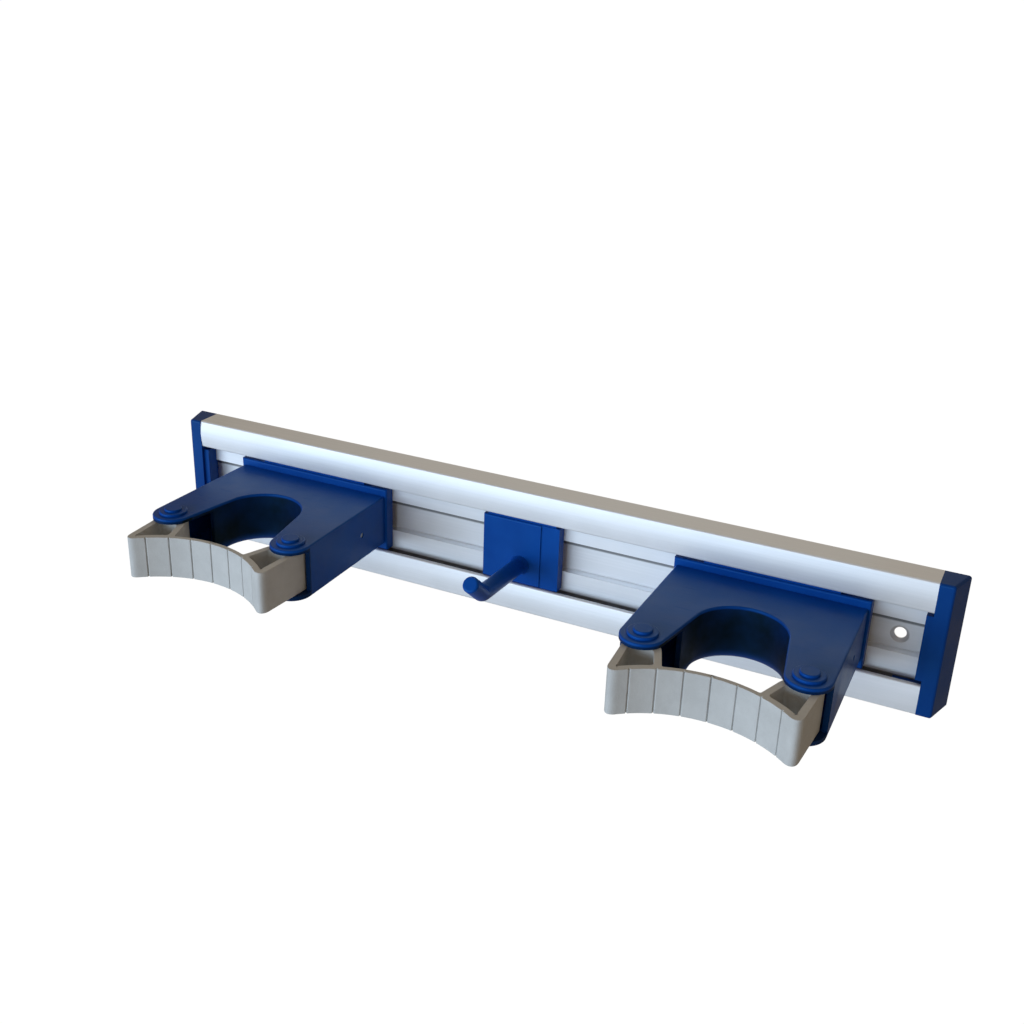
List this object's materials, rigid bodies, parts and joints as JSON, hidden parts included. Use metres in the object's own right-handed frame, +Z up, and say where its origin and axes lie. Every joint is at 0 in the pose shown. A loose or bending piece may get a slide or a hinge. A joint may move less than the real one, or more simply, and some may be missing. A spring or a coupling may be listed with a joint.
{
  "type": "brush holder",
  "caption": "Wall-mounted aluminium rail with sliding spring-grip holders for brush and broom handles, a sliding hook between them and plastic end caps.",
  "frame": {"origin": "middle of the rail's flat back face, on the wall", "axes": "+X along the rail to the right as seen from the room, +Y into the wall, +Z up"},
  "size_m": [0.3808, 0.1023, 0.0604],
  "materials": {
    "rail_metal": "satin anodised extrusion",
    "blue_plastic": "moulded plastic with a soft gloss",
    "grey_rubber": "matt moulded rubber",
    "pin_steel": "drawn steel"
  },
  "bodies": {
    "rail": {"rail": "rail_metal", "left_end_cap": "blue_plastic", "right_end_cap": "blue_plastic"},
    "left_holder": {"left_holder_shoe": "blue_plastic", "left_holder_body": "blue_plastic", "left_holder_shoe_pins": "pin_steel", "left_holder_left_pivot_pin": "blue_plastic", "left_holder_right_pivot_pin": "blue_plastic"},
    "left_holder_left_jaw": {"left_holder_left_jaw": "grey_rubber"},
    "left_holder_left_band": {"left_holder_left_band": "grey_rubber"},
    "left_holder_right_jaw": {"left_holder_right_jaw": "grey_rubber"},
    "left_holder_right_band": {"left_holder_right_band": "grey_rubber"},
    "right_holder": {"right_holder_shoe": "blue_plastic", "right_holder_body": "blue_plastic", "right_holder_shoe_pins": "pin_steel", "right_holder_left_pivot_pin": "blue_plastic", "right_holder_right_pivot_pin": "blue_plastic"},
    "right_holder_left_jaw": {"right_holder_left_jaw": "grey_rubber"},
    "right_holder_left_band": {"right_holder_left_band": "grey_rubber"},
    "right_holder_right_jaw": {"right_holder_right_jaw": "grey_rubber"},
    "right_holder_right_band": {"right_holder_right_band": "grey_rubber"},
    "hook": {"hook": "blue_plastic"}
  },
  "joints": [
    {"name": "hook_slide", "type": "slide", "parent": "rail", "child": "hook", "axis": [1, 0, 0], "range_m": [-0.0255, 0.0265]},
    {"name": "left_holder_slide", "type": "slide", "parent": "rail", "child": "left_holder", "axis": [1, 0, 0], "range_m": [-0.019, 0.0255]},
    {"name": "left_holder_left_jaw_swing", "type": "hinge", "parent": "left_holder", "child": "left_holder_left_jaw", "pos_m": [-0.1463, -0.0753, -0.00055], "axis": [0, 0, 1], "range_deg": [0, 66], "stiffness_Nm_per_rad": 0.1},
    {"name": "left_holder_left_band_fold", "type": "hinge", "parent": "left_holder_left_jaw", "child": "left_holder_left_band", "pos_m": [-0.12427, -0.08964, -0.00055], "axis": [0, 0, 1], "range_deg": [-66, 0], "stiffness_Nm_per_rad": 0.01, "deforming": ["left_holder_left_band"]},
    {"name": "left_holder_right_jaw_swing", "type": "hinge", "parent": "left_holder", "child": "left_holder_right_jaw", "pos_m": [-0.0817, -0.0753, -0.00055], "axis": [0, 0, 1], "range_deg": [-66, 0], "stiffness_Nm_per_rad": 0.1},
    {"name": "left_holder_right_band_fold", "type": "hinge", "parent": "left_holder_right_jaw", "child": "left_holder_right_band", "pos_m": [-0.10373, -0.08964, -0.00055], "axis": [0, 0, 1], "range_deg": [0, 66], "stiffness_Nm_per_rad": 0.01, "deforming": ["left_holder_right_band"]},
    {"name": "right_holder_slide", "type": "slide", "parent": "rail", "child": "right_holder", "axis": [1, 0, 0], "range_m": [-0.0265, 0.019]},
    {"name": "right_holder_left_jaw_swing", "type": "hinge", "parent": "right_holder", "child": "right_holder_left_jaw", "pos_m": [0.0817, -0.0753, -0.00055], "axis": [0, 0, 1], "range_deg": [0, 66], "stiffness_Nm_per_rad": 0.1},
    {"name": "right_holder_left_band_fold", "type": "hinge", "parent": "right_holder_left_jaw", "child": "right_holder_left_band", "pos_m": [0.10373, -0.08964, -0.00055], "axis": [0, 0, 1], "range_deg": [-66, 0], "stiffness_Nm_per_rad": 0.01, "deforming": ["right_holder_left_band"]},
    {"name": "right_holder_right_jaw_swing", "type": "hinge", "parent": "right_holder", "child": "right_holder_right_jaw", "pos_m": [0.1463, -0.0753, -0.00055], "axis": [0, 0, 1], "range_deg": [-66, 0], "stiffness_Nm_per_rad": 0.1},
    {"name": "right_holder_right_band_fold", "type": "hinge", "parent": "right_holder_right_jaw", "child": "right_holder_right_band", "pos_m": [0.12427, -0.08964, -0.00055], "axis": [0, 0, 1], "range_deg": [0, 66], "stiffness_Nm_per_rad": 0.01, "deforming": ["right_holder_right_band"]}
  ],
  "couplings": [
    {"joint": "left_holder_right_jaw_swing", "follows": "left_holder_left_jaw_swing", "ratio": -1},
    {"joint": "left_holder_left_band_fold", "follows": "left_holder_left_jaw_swing", "ratio": -1},
    {"joint": "left_holder_right_band_fold", "follows": "left_holder_left_jaw_swing", "ratio": 1},
    {"joint": "right_holder_right_jaw_swing", "follows": "right_holder_left_jaw_swing", "ratio": -1},
    {"joint": "right_holder_left_band_fold", "follows": "right_holder_left_jaw_swing", "ratio": -1},
    {"joint": "right_holder_right_band_fold", "follows": "right_holder_left_jaw_swing", "ratio": 1}
  ]
}
